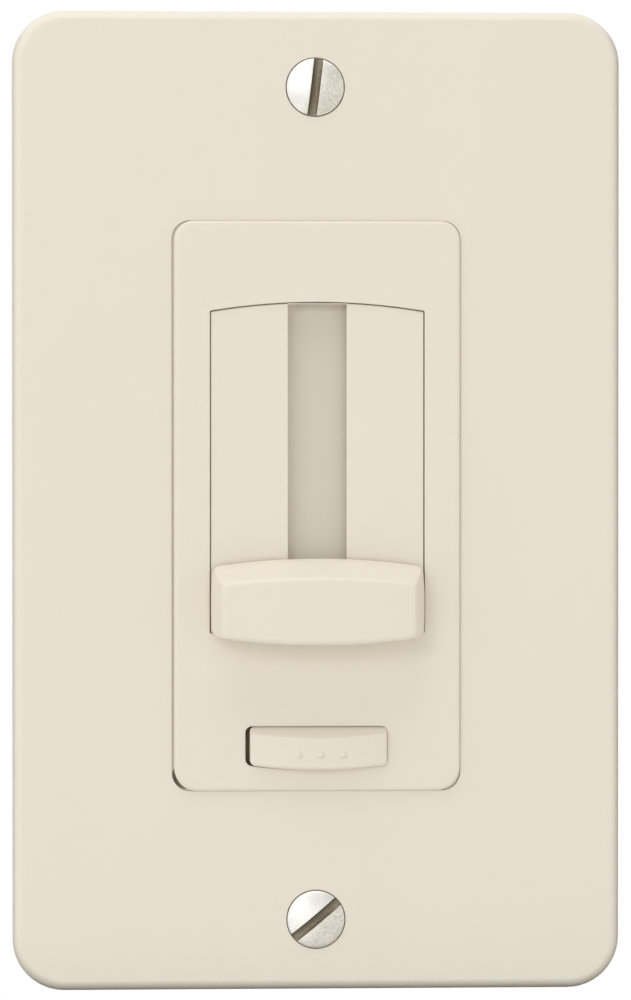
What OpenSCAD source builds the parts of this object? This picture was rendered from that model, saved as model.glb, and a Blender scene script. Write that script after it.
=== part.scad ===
// Slide dimmer for a single-gang wall box. A wall plate and a bezel with a slider and a push button are in
// front, and a steel yoke carries them and the housing with the working parts behind.
// The wall is the plane y = 0, the front faces -Y, Z is up, and the origin is midway between the box screws.

/* [Wall plate] */
// Width of the wall plate
plate_w = 70.6; // [70:0.1:72]
// Height of the wall plate
plate_h = 113.6; // [113:0.1:116]
// How far the face of the plate stands in front of the wall
plate_depth = 5.6; // [5.5:0.1:6]
// Radius of the plate's corners
plate_corner_r = 6; // [4:0.5:8]
// Radius of the rounded edge round the face
plate_edge_r = 1.25; // [0.6:0.05:1.5]
// Thickness of the face
plate_skin = 2; // [1.6:0.1:2]
// How far the outline sits above the middle of the opening
plate_lift = 0.5; // [0:0.1:0.6]
// How far the opening sits to the left of the device's centre
opening_shift = 0.08; // [0:0.02:0.1]
// Distance between the plate screws
plate_screw_pitch = 96.84; // [96.8:0.02:96.9]

/* [Opening and bezel] */
// Width of the plate's opening
opening_w = 33.6; // [33.5:0.1:34]
// Height of the plate's opening
opening_h = 66.6; // [66.5:0.1:67]
// Radius of the opening's corners
opening_r = 2.3; // [1.5:0.1:3]
// Gap between the opening and the bezel
bezel_gap = 0.22; // [0.15:0.01:0.3]
// How far the bezel's face stands in front of the wall
bezel_depth = 6.2; // [6.2:0.1:6.6]
// Wall thickness of the mouldings
moulding_wall = 1.2; // [1:0.1:1.3]

/* [Slider] */
// Travel of the slider
slide_travel = 30; // [24:1:30]
// Width of the window that the slider moves in
window_w = 24.9; // [24.5:0.1:25.5]
// Width of the groove down the middle of the window
groove_w = 6.8; // [6.6:0.1:7]
// Width of the knob at its base
knob_w = 24.7; // [22:0.1:24.8]
// Height of the knob at its base
knob_h = 9.9; // [9:0.1:10.2]
// How far the knob's face stands in front of the wall
knob_depth = 11.4; // [11:0.1:12.6]

/* [Push button] */
// Width of the button
button_w = 15.9; // [15:0.1:16]
// Height of the button
button_h = 5; // [4.6:0.1:5]
// How far the button sits to the right of the middle of its opening
button_shift = 0.12; // [0:0.02:0.14]
// How far the button is pushed in
button_travel = 1.8; // [1.5:0.1:1.8]
// Height of the button's middle, below the middle of the opening
button_z = -28.1; // [-28.4:0.1:-28]

/* [Yoke and housing] */
// Distance between the box screws
box_screw_pitch = 83.34; // [83.2:0.02:83.4]
// Thickness of the yoke
yoke_t = 1.5; // [1.2:0.1:1.5]
// Width of the yoke where it carries the housing
yoke_w = 44.5; // [44:0.1:46]
// Length of the yoke
yoke_h = 106.4; // [106:0.1:107]
// Width of the housing
housing_w = 42; // [42:0.5:43]
// Height of the housing
housing_h = 68; // [68:0.5:68.5]
// Depth of the housing behind the wall
housing_depth = 31; // [31:0.5:34]
// Wall thickness of the housing
housing_wall = 1.8; // [1.6:0.1:1.8]

/* [Hidden] */
$fn = 48;
fine = 240;   // facets of the wide, shallow arcs
cut = 20;     // length of a cutting tool that passes right through

ivory = "#E7E0D0";
nickel = "#C9C2B4";
zinc = "#C4C8CC";
brass = "#C9A24A";
tin = "#B9BCBE";
black = "#26262A";

// Levels along Y, from the front to the back
plate_front = -plate_depth;
plate_inside = plate_front + plate_skin;
bezel_front = -bezel_depth;
bezel_inside = bezel_front + moulding_wall;
window_wall = 0.9;                   // thickness of the bezel round its window
flange_front = bezel_front + window_wall + 0.05; // flange of the track panel
flange_back = flange_front + 0.5;
flange_top = 29;
flange_bottom = -21.5;
flange_w = 29.6;
panel_front = bezel_front + 0.2;
floor_front = flange_back + 0.75;    // bottom of the groove
floor_back = floor_front + 0.8;
yoke_front = -yoke_t;
board_front = 10;                    // front face of the circuit board
board_back = board_front + 1.6;
knob_front = -knob_depth;
knob_base = bezel_front - 0.2;

// The slider's rest place and the ends of its window
knob_z = -11.1;
window_top = 23.7;
window_bottom = -16.4;
top_sag = 1.04;                      // how far the arched top falls at its corners
bottom_sag = 1.35;
knob_sag = 0.95;                     // bulge of the knob's top and bottom
button_sag = 0.5;                    // bulge of the button's bottom

screw_r = 1.75;                      // 6-32 thread
neck_r = 1.45;                       // same screw, below its thread
boss_x = 16.4;                       // corner bosses of the housing
boss_z = 29.4;
boss_r = 2.6;
hook_x = 11.2;                       // snap hooks of the bezel
hook_z = 30.8;
pot_z = knob_z + slide_travel / 2;   // middle of the potentiometer
pot_len = 45;
pot_back = board_front - 0.6;
triac_x = 13.6;
triac_z = 0;
terminals = [[-1, -16], [1, -16], [1, 8]]; // side and height of each screw terminal
wire_r = 1.15;                       // wire holes, for solid wire up to 2.05 mm
wire_offset = 3.3;
wire_x = 16.6;
plunger_r = 1.9;                     // of the switch under the button
axial_y = board_back + 1.9;          // middle of the parts that lie on the circuit board
choke_x = -5.5;
choke_y = 19;
choke_z = 15.5;
choke_r = 8.5;                       // mean radius of the toroid

// Where the leads of the parts go through the circuit board, as [x, z]
capacitor_pins = [[-7.5, -4], [7.5, -4], [-8.4, -17], [-8.4, -27]];
resistor_pins = [[7.6, -15.5], [7.6, -26.5], [10.8, -15.5], [10.8, -26.5], [11.4, 18.5], [11.4, 29]];
diac_pins = [[9.8, 12], [9.8, 21]];
choke_pins = [[choke_x - 12.3, choke_z - 3.2], [choke_x - 12.3, choke_z + 3.2]];
board_pins = concat(capacitor_pins, resistor_pins, diac_pins, choke_pins);
triac_pins = [for (i = [-1:1]) [triac_x + 2.54 * i, triac_z - 7.5]];

// ---- Shapes ----

// A sketch in the X-Z plane, given the depth from y0 back to y1
module layer(y0, y1) {
    translate([0, y1, 0]) rotate([90, 0, 0]) linear_extrude(y1 - y0) children();
}

// A block between two places along each axis
module block(x, y, z) {
    translate([x[0], y[0], z[0]]) cube([x[1] - x[0], y[1] - y[0], z[1] - z[0]]);
}

// A cone, or with r1 left out a cylinder, along Y
module rod_y(r0, y0, y1, r1 = undef) {
    translate([0, y0, 0]) rotate([-90, 0, 0]) cylinder(h = y1 - y0, r1 = r0, r2 = is_undef(r1) ? r0 : r1);
}

module rod_x(r, x0, x1) {
    translate([x0, 0, 0]) rotate([0, 90, 0]) cylinder(h = x1 - x0, r = r);
}

module rod_z(r, z0, z1) {
    translate([0, 0, z0]) cylinder(h = z1 - z0, r = r);
}

module rounded(w, h, r) {
    square([w - 2 * r, h], center = true);
    square([w, h - 2 * r], center = true);
    for (x = [-1, 1], z = [-1, 1]) {
        translate([x * (w / 2 - r), z * (h / 2 - r)]) circle(r);
    }
}

function arc_radius(chord, sag) = (chord * chord / 4 + sag * sag) / (2 * sag);

// An outline between z0 and z1 whose bottom and top bulge by the given sagittas
module arched(w, z0, z1, sag0, sag1) {
    radius0 = arc_radius(w, sag0);
    radius1 = arc_radius(w, sag1);
    intersection() {
        translate([-w / 2, z0 - 1]) square([w, z1 - z0 + 2]);
        translate([0, z0 + radius0]) circle(radius0, $fn = fine);
        translate([0, z1 - radius1]) circle(radius1, $fn = fine);
    }
}

// A rounded rectangle whose bottom bulges, its corners lifted by sag
module bowed(w, h, r, sag) {
    radius = arc_radius(w, sag);
    intersection() {
        rounded(w, h, r);
        translate([0, radius - h / 2]) circle(radius, $fn = fine);
    }
}

module both_sides() {
    children();
    mirror([1, 0, 0]) children();
}

module both_ends() {
    children();
    mirror([0, 0, 1]) children();
}

module four_corners() {
    both_sides() both_ends() children();
}

// A domed head of radius r on the plane y, rising by rise towards the front
module dome_y(r, y, rise) {
    wide = 1.04 * r;
    sphere_r = (wide * wide + rise * rise) / (2 * rise);
    intersection() {
        rod_y(r, y - rise - 1, y);
        translate([0, y - rise + sphere_r, 0]) sphere(sphere_r);
    }
}

// A solid skin over a list of rings, each a list of points, with flat ends
module skin(rings) {
    n = len(rings);
    m = len(rings[0]);
    polyhedron([for (ring = rings) each ring], concat(
        [[for (j = [m - 1:-1:0]) j]],
        [for (i = [0:n - 2], j = [0:m - 1]) [i * m + j, i * m + (j + 1) % m, (i + 1) * m + j]],
        [for (i = [0:n - 2], j = [0:m - 1])
            [i * m + (j + 1) % m, (i + 1) * m + (j + 1) % m, (i + 1) * m + j]],
        [[for (j = [0:m - 1]) (n - 1) * m + j]]));
}

// ---- Front: plate, bezel, slider and button ----

module plate_outline(inset) {
    translate([0, plate_lift]) rounded(plate_w - 2 * inset, plate_h - 2 * inset, plate_corner_r - inset);
}

module opening_outline(outset) {
    translate([-opening_shift, 0])
        rounded(opening_w + 2 * outset, opening_h + 2 * outset, opening_r + outset);
}

module plate_screw_places() {
    both_ends() translate([0, 0, plate_screw_pitch / 2]) children();
}

module wallplate() {
    rim = 1.8;
    color(ivory) difference() {
        union() {
            difference() {
                hull() {
                    for (a = [0:22.5:90]) {
                        layer(plate_front + plate_edge_r * (1 - sin(a)), 0)
                            plate_outline(plate_edge_r * (1 - cos(a)), $fn = 32);
                    }
                }
                layer(plate_inside, 1) plate_outline(rim);
            }
            layer(plate_inside - 0.2, -2.7) opening_outline(1.4);
            plate_screw_places() rod_y(3, plate_inside - 0.2, yoke_front - 0.1);
            both_ends() block([-34, 34], [plate_inside - 0.2, -2.5], [36.4, 37.6]);
            both_sides() block([23.4, 24.6], [plate_inside - 0.2, -2.5], [-50, 50]);
        }
        layer(-cut, cut) opening_outline(0);
        plate_screw_places() {
            rod_y(1.8, -cut, cut);
            rod_y(3.9, plate_front - 0.35, plate_front + 1.9, r1 = 1.8);
        }
    }
}

// Oval-head screw whose rim lies in the plane y, its slot turned by turn from the horizontal
module oval_screw(y, turn) {
    head_r = 3.45;
    difference() {
        union() {
            dome_y(head_r, y, 1.1);
            rod_y(head_r, y - 0.01, y + 1.9, r1 = 1.6);
            rod_y(1.6, y + 1.8, 3.5);
        }
        rotate([0, -turn, 0]) block([-5, 5], [y - 2, y + 0.1], [-0.48, 0.48]);
    }
}

module wallplate_screws() {
    color(nickel) {
        translate([0, 0, plate_screw_pitch / 2]) oval_screw(plate_front, 83);
        translate([0, 0, -plate_screw_pitch / 2]) oval_screw(plate_front, 40);
    }
}

module bezel() {
    w = opening_w - 2 * bezel_gap;
    h = opening_h - 2 * bezel_gap;
    color(ivory) difference() {
        union() {
            difference() {
                union() {
                    layer(bezel_front, yoke_front) rounded(w, h, opening_r - bezel_gap);
                    layer(yoke_front - 1, yoke_front) rounded(w + 5, h + 5, 2);
                }
                layer(bezel_inside, 1) rounded(w - 2 * moulding_wall, h - 2 * moulding_wall, 1);
            }
            // sleeve that guides the button
            translate([0, 0, button_z]) layer(bezel_inside - 0.1, bezel_inside + 0.2)
                rounded(button_w + 2.9, button_h + 2.2, 1.4);
            four_corners() block([hook_x - 1.6, hook_x + 1.6], [bezel_inside - 0.1, 1.4],
                [hook_z - 0.6, hook_z + 0.6]);
            four_corners() block([hook_x - 1.6, hook_x + 1.6], [0.1, 1.4], [hook_z, hook_z + 1.1]);
        }
        layer(-cut, 1) arched(window_w, window_bottom, window_top, bottom_sag, top_sag);
        layer(bezel_front + window_wall, 1) translate([0, (flange_top + flange_bottom) / 2])
            square([flange_w + 0.5, flange_top - flange_bottom + 0.6], center = true);
        translate([0, 0, button_z]) layer(-cut, 1) bowed(button_w + 0.5, button_h + 0.5, 1, button_sag);
    }
}

module track_panel() {
    gap = 0.22;
    color(ivory) difference() {
        union() {
            layer(panel_front, flange_back)
                arched(window_w - 2 * gap, window_bottom + gap, window_top - gap, bottom_sag, top_sag);
            layer(flange_front, flange_back) translate([0, (flange_top + flange_bottom) / 2])
                square([flange_w, flange_top - flange_bottom], center = true);
            both_sides() {
                block([11.8, 14.4], [flange_back - 0.1, yoke_front], [26, 28.6]);
                block([11.8, 14.4], [flange_back - 0.1, yoke_front], [flange_bottom, flange_bottom + 2.6]);
            }
        }
        block([-groove_w / 2, groove_w / 2], [-cut, 1], [window_bottom - 0.8, window_top + 0.9]);
    }
}

module track_floor() {
    low = -21;
    high = 28.6;
    color(ivory) {
        block([-4.6, 4.6], [floor_front, floor_back], [low, high]);
        block([-4.6, 4.6], [flange_back, yoke_front], [low, low + 2.7]);
        block([-4.6, 4.6], [flange_back, yoke_front], [high - 3.2, high]);
    }
}

// Outline of the knob, drawn in by side, bottom and top, with sides that bulge a little too
module knob_outline(side, bottom, top) {
    side_radius = arc_radius(knob_h, 0.25);
    intersection() {
        arched(knob_w - 2 * side, bottom - knob_h / 2, knob_h / 2 - top, knob_sag, knob_sag);
        translate([side_radius - knob_w / 2 + side, 0]) circle(side_radius, $fn = fine);
        translate([knob_w / 2 - side - side_radius, 0]) circle(side_radius, $fn = fine);
    }
}

module slide_knob() {
    wall = 1.3;
    stem_w = 5.4;
    stem_h = 3.4;
    translate([0, 0, knob_z]) color(ivory) {
        difference() {
            hull() {
                layer(knob_base - 0.6, knob_base) knob_outline(0, 0, 0);
                layer(knob_front + 0.5, knob_base) knob_outline(1, 0.05, 2.1);
                layer(knob_front, knob_base) knob_outline(1.6, 0.5, 2.6);
            }
            hull() {
                layer(knob_base - 0.6, knob_base + 1) knob_outline(wall, wall, wall);
                layer(knob_front + 1.5, knob_base + 1) knob_outline(wall + 1, wall + 0.1, wall + 2.1);
            }
        }
        difference() {
            block([-stem_w / 2 - 1, stem_w / 2 + 1], [knob_front + 1, knob_base], [-3, 3]);
            block([-stem_w / 2, stem_w / 2], [knob_front + 1.7, 0], [-stem_h / 2, stem_h / 2]);
        }
    }
}

module slide_carrier() {
    half_h = 3.5;
    half_w = 7.3;
    leg_w = 2.2;
    gap = 0.1;
    bar_front = yoke_front - 0.2;
    bar_back = bar_front + 1.2;
    translate([0, 0, knob_z]) color(ivory) difference() {
        union() {
            block([-2.6, 2.6], [knob_front + 1.8, floor_front - gap], [-1.6, 1.6]);
            block([-3.1, 3.1], [knob_base, floor_front - gap], [-half_h, half_h]);
            block([-half_w, half_w], [flange_back + gap, floor_front - gap], [-half_h, half_h]);
            both_sides() block([half_w - leg_w, half_w], [flange_back + gap, bar_back], [-half_h, half_h]);
            block([-half_w, half_w], [bar_front, bar_back], [-half_h, half_h]);
        }
        block([-2.05, 2.05], [bar_front - 0.1, bar_back + 1], [-0.6, 0.6]);
    }
}

// Outline of the button, drawn in by side, bottom and top
module button_outline(side, bottom, top) {
    translate([0, (bottom - top) / 2])
        bowed(button_w - 2 * side, button_h - bottom - top, 0.8, button_sag);
}

module push_button() {
    crown = bezel_front - 1.6;
    flange = bezel_inside + 0.3;
    skirt = -3.6;
    post_r = 2.3;
    translate([button_shift, 0, button_z]) color(ivory) {
        difference() {
            union() {
                difference() {
                    union() {
                        hull() {
                            layer(bezel_front + 0.8, skirt) button_outline(0, 0, 0);
                            layer(crown + 0.5, skirt) button_outline(0.1, 0, 1.2);
                            layer(crown, skirt) button_outline(0.8, 0.4, 1.5);
                        }
                        layer(flange, flange + 0.8) rounded(button_w + 1.8, button_h + 1.6, 1);
                    }
                    layer(crown + 1.2, 1) rounded(button_w - 2.4, button_h - 2.2, 0.6);
                }
                rod_y(post_r, crown + 1, skirt + 0.6);
            }
            translate([-button_shift, 0, 0]) rod_y(plunger_r + 0.05, -6.1, 0);
        }
        for (x = [-2.6, 0, 2.6]) {
            translate([x, 0, -0.75]) dome_y(0.42, crown + 0.1, 0.28);
        }
    }
}

// ---- Yoke and its screws ----

module box_screw_places() {
    both_ends() translate([0, 0, box_screw_pitch / 2]) children();
}

module yoke() {
    ear_h = 8;
    ear_z = yoke_h / 2 - ear_h / 2;
    tab = [-14, -6];
    color(zinc) difference() {
        union() {
            layer(yoke_front, 0) {
                rounded(yoke_w, 72, 3);
                rounded(19, yoke_h, 2);
                for (z = [-1, 1]) {
                    translate([0, z * ear_z]) rounded(42, ear_h, 3);
                }
            }
            block(tab, [-0.5, 9.5], [-35.9, -34.4]);
        }
        layer(-cut, 1) {
            translate([0, (window_top + window_bottom) / 2]) square([17, 44], center = true);
            for (z = [-1, 1], x = [-1, 1]) {
                translate([x * hook_x, z * hook_z]) square([3.6, 1.6], center = true);
                translate([x * 11, z * (yoke_h / 2 - ear_h)]) square([1.6, 2.4], center = true);
            }
            for (z = [-1, 1]) {
                translate([0, z * box_screw_pitch / 2]) rounded(7, 4, 1.99);
            }
        }
        plate_screw_places() rod_y(1.65, -cut, 1);
        translate([0, 0, button_z]) rod_y(3.4, -cut, 1);
        translate([triac_x, 0, triac_z + 7.9]) rod_y(1.55, -cut, 1);
        four_corners() translate([boss_x, 0, boss_z]) rod_y(1.35, -cut, 1);
        translate([(tab[0] + tab[1]) / 2, 5.4, 0]) rod_z(2.05, -40, -34);
    }
}

// Slot across a head, cut into the face at y
module slot(y, length, width, depth) {
    block([-length / 2, length / 2], [y - 1, y + depth], [-width / 2, width / 2]);
}

module box_screws() {
    color(zinc) box_screw_places() {
        difference() {
            rod_y(3.4, yoke_front - 1.8, yoke_front);
            slot(yoke_front - 1.8, 8, 1, 0.9);
        }
        rod_y(neck_r, yoke_front - 0.1, 0.6);
        rod_y(screw_r, 0.46, 21);
        rod_y(screw_r, 21, 22.2, r1 = 0.8);
    }
}

module screw_retainers() {
    color("#8E3B2C") box_screw_places() difference() {
        layer(0, 0.4) rounded(9, 7, 1);
        rod_y(neck_r + 0.03, -1, 1);
    }
}

module ground_screw() {
    head_top = -35.9;
    translate([-10, 5.4, 0]) color("#3F7A45") difference() {
        union() {
            rod_z(3.6, head_top - 1.9, head_top);
            rod_z(2, head_top - 0.1, -34.15);
        }
        block([-5, 5], [-0.5, 0.5], [head_top - 3, head_top - 1]);
    }
}

// ---- Housing and circuit board ----

module insulating_sheet() {
    color("#9FA7A0") layer(0, 0.4) difference() {
        rounded(housing_w - 2 * housing_wall - 0.8, housing_h - 2 * housing_wall - 0.6, 1);
        translate([0, (window_top + window_bottom) / 2]) square([17.6, 45], center = true);
        translate([triac_x, triac_z + 3]) square([11, 18], center = true);
        translate([0, button_z]) circle(4.1);
        for (x = [-1, 1], z = [-1, 1]) {
            translate([x * hook_x, z * (hook_z + 0.6)]) square([4, 4], center = true);
            translate([x * (boss_x + 2), z * (boss_z + 2)]) square([11, 11], center = true);
        }
    }
}

module rear_housing() {
    inner_w = housing_w - 2 * housing_wall;
    inner_h = housing_h - 2 * housing_wall;
    pocket_y = [14, 26];
    pocket_half = 5.5;
    color(black) difference() {
        union() {
            difference() {
                layer(0, housing_depth) rounded(housing_w, housing_h, 3);
                layer(-1, housing_depth - housing_wall) rounded(inner_w, inner_h, 1.2);
            }
            four_corners() {
                translate([boss_x, 0, boss_z]) rod_y(boss_r, 0, housing_depth - 0.5);
                block([boss_x, 20], [0, housing_depth - 0.5], [boss_z - 0.8, boss_z + 0.8]);
            }
            for (t = terminals) {
                block([min(t[0] * 12.9, t[0] * 20), max(t[0] * 12.9, t[0] * 20)],
                    [pocket_y[0] - 1.2, housing_depth - 0.5], [t[1] - 6.7, t[1] + 6.7]);
            }
        }
        for (t = terminals) {
            translate([0, 0, t[1]]) {
                block([min(t[0] * 14.3, t[0] * 30), max(t[0] * 14.3, t[0] * 30)], pocket_y,
                    [-pocket_half, pocket_half]);
                block([min(t[0] * 14.3, t[0] * 15.3), max(t[0] * 14.3, t[0] * 15.3)],
                    [10, pocket_y[0] + 1], [-1.25, 1.25]);
                translate([0, 20, 0]) rod_x(2.05, t[0] > 0 ? 10 : -16, t[0] > 0 ? 16 : -10);
                for (z = [-wire_offset, wire_offset]) {
                    translate([t[0] * wire_x, 0, z]) rod_y(wire_r, pocket_y[1] - 1, cut * 2);
                }
            }
        }
        four_corners() translate([boss_x, 0, boss_z]) {
            rod_y(1.4, -1, cut * 2);
            rod_y(2.1, housing_depth - 1.9, cut * 2);
        }
        // shallow panel in the back
        layer(housing_depth - 0.4, cut * 2) translate([0, 4]) rounded(20, 44, 1.5);
        // grooves across both ends, a grip for the fingers
        both_ends() for (y = [6:4:26]) {
            block([-9, 9], [y, y + 1.2], [housing_h / 2 - 0.5, housing_h]);
        }
    }
}

module housing_screws() {
    head_y = housing_depth - 1.9;
    color(zinc) four_corners() translate([boss_x, 0, boss_z]) difference() {
        union() {
            rod_y(1.3, yoke_front + 0.1, head_y + 0.1);
            rod_y(2, head_y, head_y + 1.5);
        }
        block([-1.3, 1.3], [head_y + 0.6, head_y + 2], [-0.25, 0.25]);
        block([-0.25, 0.25], [head_y + 0.6, head_y + 2], [-1.3, 1.3]);
    }
}

module circuit_board() {
    color("#B08A4A") difference() {
        layer(board_front, board_back) difference() {
            square([37.8, 63.4], center = true);
            for (x = [-1, 1], z = [-1, 1]) {
                translate([x * 19, z * 32]) square([11.4, 11.4], center = true);
            }
        }
        for (p = concat(board_pins, triac_pins)) {
            translate([p[0], 0, p[1]]) rod_y(0.5, 0, cut);
        }
        for (t = terminals) {
            translate([t[0] * 14.8, 0, t[1]]) block([-0.6, 0.6], [0, cut], [-1.3, 1.3]);
        }
        for (z = [-1, 1]) {
            translate([-4.2, 0, button_z + 1.9 * z]) rod_y(0.55, 0, cut);
            both_sides() translate([3.4, 0, pot_z + z * (pot_len / 2 - 2)])
                block([-0.5, 0.5], [0, cut], [-0.9, 0.9]);
        }
    }
}

// ---- Slide potentiometer ----

module pot_frame() {
    wall = 0.5;
    half = pot_len / 2;
    front = 3;
    translate([0, 0, pot_z]) color(tin) {
        difference() {
            block([-4.5, 4.5], [front, pot_back], [-half, half]);
            block([wall - 4.5, 4.5 - wall], [front + wall, cut], [wall - half, half - wall]);
            block([-2.35, 2.35], [0, front + 1], [-slide_travel / 2 - 1.2, slide_travel / 2 + 1.2]);
        }
        four_corners() block([3, 3.8], [pot_back, board_back + 0.9], [half - 2.7, half - 1.3]);
        both_ends() block([-4.5, 4.5], [pot_back - 0.6, pot_back], [half - 3.5, half]);
    }
}

module pot_resistor_board() {
    half = pot_len / 2;
    translate([0, 0, pot_z]) color("#7A4B2A")
        block([-3.9, 3.9], [pot_back - 1.8, pot_back - 0.65], [0.6 - half, half - 0.6]);
}

module pot_tracks() {
    half = pot_len / 2;
    translate([0, 0, pot_z]) color("#2B2B2E") both_sides()
        block([0.9, 2.7], [pot_back - 1.9, pot_back - 1.8], [2 - half, half - 2]);
}

module pot_wiper() {
    translate([0, 0, knob_z]) color("#EDEBE4") {
        block([-1.95, 1.95], [-1.3, 5.2], [-0.5, 0.5]);
        block([-3.4, 3.4], [4.2, 6.4], [-4.5, 4.5]);
    }
}

module pot_wiper_contacts() {
    strip = 0.25;
    reach = 1.05;
    finger = [[0, 0], [0, 1], [reach - strip, 3.4], [reach - strip, 4.2], [reach, 4.2], [reach, 3.3],
        [strip, 0.9], [strip, 0]];
    translate([0, 6.4, knob_z]) color(brass) both_sides()
        translate([1.35, 0, 0]) rotate([90, 0, 90]) linear_extrude(0.9) polygon(finger);
}

// ---- Push switch ----

module at_button() {
    translate([0, 0, button_z]) children();
}

module switch_case() {
    color(black) at_button() difference() {
        block([-6, 6], [2.6, board_front - 0.05], [-3.5, 3.5]);
        block([-5.2, 5.2], [2, 9.2], [-2.8, 2.8]);
        for (z = [-1.9, 1.9]) {
            translate([-4.2, 0, z]) rod_y(0.5, 8, cut);
        }
    }
}

module switch_cover() {
    color("#D8D2C2") at_button() difference() {
        block([-6, 6], [1.8, 2.6], [-3.5, 3.5]);
        rod_y(plunger_r + 0.09, 0, cut);
    }
}

module switch_plunger() {
    color("#EDEBE4") at_button() {
        rod_y(plunger_r, -5.9, 3.4);
        block([-5, 3.4], [3.4, 4.2], [-2.5, 2.5]);
        rod_y(1.2, 4.1, 6.4);
    }
}

module switch_spring() {
    wire = 0.22;
    mean_r = 1.7;
    y0 = 4.25 + wire;
    y1 = 9.15 - wire;
    turns = 5;
    steps = 14;
    color(zinc) at_button() skin([for (i = [0:turns * steps]) let (
        a = 360 * i / steps,
        y = y0 + (y1 - y0) * i / (turns * steps))
        [for (b = [0:60:300]) [
            (mean_r + wire * cos(b)) * cos(a),
            y + wire * sin(b),
            (mean_r + wire * cos(b)) * sin(a)]]]);
}

module switch_bridge_contact() {
    color(brass) at_button() {
        block([-4.8, -3.6], [4.2, 4.5], [-2.4, 2.4]);
        for (z = [-1.9, 1.9]) {
            translate([-4.2, 0, z]) rod_y(0.5, 4.4, 4.75);
        }
    }
}

module switch_terminals() {
    color(brass) at_button() for (z = [-1.9, 1.9]) {
        translate([-4.2, 0, z]) {
            rod_y(0.45, 7, board_back + 1);
            rod_y(0.6, 6.65, 7.1);
        }
    }
}

// ---- Triac ----

module at_triac() {
    translate([triac_x, 0, triac_z]) children();
}

module triac_insulator() {
    color("#C8C4B8") at_triac() difference() {
        block([-5.3, 5.3], [0, 0.3], [-5, 11.3]);
        translate([0, 0, 7.9]) rod_y(1.6, -1, 1);
    }
}

module triac_tab() {
    color(tin) at_triac() difference() {
        block([-5, 5], [0.3, 1.6], [-4.4, 11]);
        translate([0, 0, 7.9]) rod_y(1.8, -1, 3);
    }
}

module triac_body() {
    color("#2C2C30") at_triac() block([-5, 5], [1.6, 4.8], [-4.5, 4.7]);
}

module triac_leads() {
    color(tin) for (p = triac_pins) {
        translate([p[0], 0, p[1]]) {
            block([-0.4, 0.4], [2.6, 3.2], [-0.3, 3]);
            block([-0.3, 0.3], [2.6, board_back + 0.8], [-0.3, 0.3]);
        }
    }
}

module triac_screw() {
    color(zinc) at_triac() translate([0, 0, 7.9]) difference() {
        union() {
            rod_y(1.5, yoke_front, 1.7);
            rod_y(2.8, 1.6, 3.6);
        }
        block([-2, 2], [2.6, 4], [-0.35, 0.35]);
        block([-0.35, 0.35], [2.6, 4], [-2, 2]);
    }
}

// ---- Parts on the circuit board ----

module choke_core() {
    color("#7C8A5A") translate([choke_x, choke_y, choke_z]) rotate([90, 0, 0])
        rotate_extrude() translate([choke_r, 0]) rounded(5.6, 8.6, 1.8);
}

// Copper wire wound round the core, open at the side where its ends leave
module choke_winding() {
    wire = 0.42;
    turns = 24;
    steps = 12;
    count = turns * steps;
    open = 20;
    color("#B5652E") translate([choke_x, choke_y, choke_z]) skin([for (i = [0:count]) let (
        around = -180 + open + (360 - 2 * open) * i / count,
        turn = 360 * i / steps,
        out = choke_r + 4.2 * cos(turn),
        y = 5.6 * sin(turn))
        [for (b = [0:60:300]) let (
            r = out + wire * cos(b) * cos(turn),
            spin = around + wire * sin(b) / out * 57.3)
            [r * cos(spin), y + wire * cos(b) * sin(turn), r * sin(spin)]]]);
}

module film_capacitors() {
    color("#A8442F") {
        block([-9, 9], [board_back + 0.5, 26], [-8, 0]);
        block([-11.4, -5.4], [board_back + 0.5, 22.6], [-28.5, -15.5]);
    }
}

// Axial body between two pins, lying off the board
module axial(pins, r, length, y) {
    translate([pins[0][0], y, (pins[0][1] + pins[1][1]) / 2]) rod_z(r, -length / 2, length / 2);
}

module resistors() {
    color("#C9B58C") for (i = [0:2:4]) {
        pair = [resistor_pins[i], resistor_pins[i + 1]];
        axial(pair, 1.1, 6.4, axial_y);
        axial(pair, 1.3, 1.4, axial_y);
    }
}

module diac() {
    color("#3C5A8C") axial(diac_pins, 0.95, 4, axial_y);
}

module component_leads() {
    r = 0.35;
    color(tin) {
        for (p = concat(capacitor_pins, choke_pins)) {
            translate([p[0], 0, p[1]]) rod_y(r, board_front - 1, p[0] < -12 ? choke_y : board_back + 0.5);
        }
        for (p = concat(resistor_pins, diac_pins)) {
            translate([p[0], 0, p[1]]) rod_y(r, board_front - 1, axial_y + r);
        }
    }
}

module solder_joints() {
    color(tin) for (p = concat(board_pins, triac_pins)) {
        translate([p[0], 0, p[1]]) difference() {
            rod_y(0.45, board_front - 0.8, board_front, r1 = 1.05);
            rod_y(0.43, 0, cut);
        }
    }
}

// ---- Screw terminals ----

// Things drawn for the terminal on the right, repeated at each terminal
module at_terminals() {
    for (t = terminals) {
        translate([0, 0, t[1]]) mirror([t[0] < 0 ? 1 : 0, 0, 0]) children();
    }
}

module terminal_straps() {
    color(brass) at_terminals() difference() {
        union() {
            block([14.3, 15.3], [14.2, 25.8], [-5.2, 5.2]);
            block([14.3, 15.3], [board_front - 0.8, 14.3], [-1.2, 1.2]);
        }
        translate([0, 20, 0]) rod_x(2, 10, cut);
    }
}

module terminal_clamps() {
    color(brass) at_terminals() difference() {
        block([17.9, 18.7], [15.4, 24.6], [-4.8, 4.8]);
        translate([0, 20, 0]) rod_x(2.1, 10, cut);
    }
}

module terminal_screws() {
    color(brass) at_terminals() translate([0, 20, 0]) difference() {
        union() {
            rod_x(1.95, 12, 18.8);
            rod_x(3.9, 18.7, 20.9);
        }
        block([19.9, 22], [-5, 5], [-0.5, 0.5]);
    }
}

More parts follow.
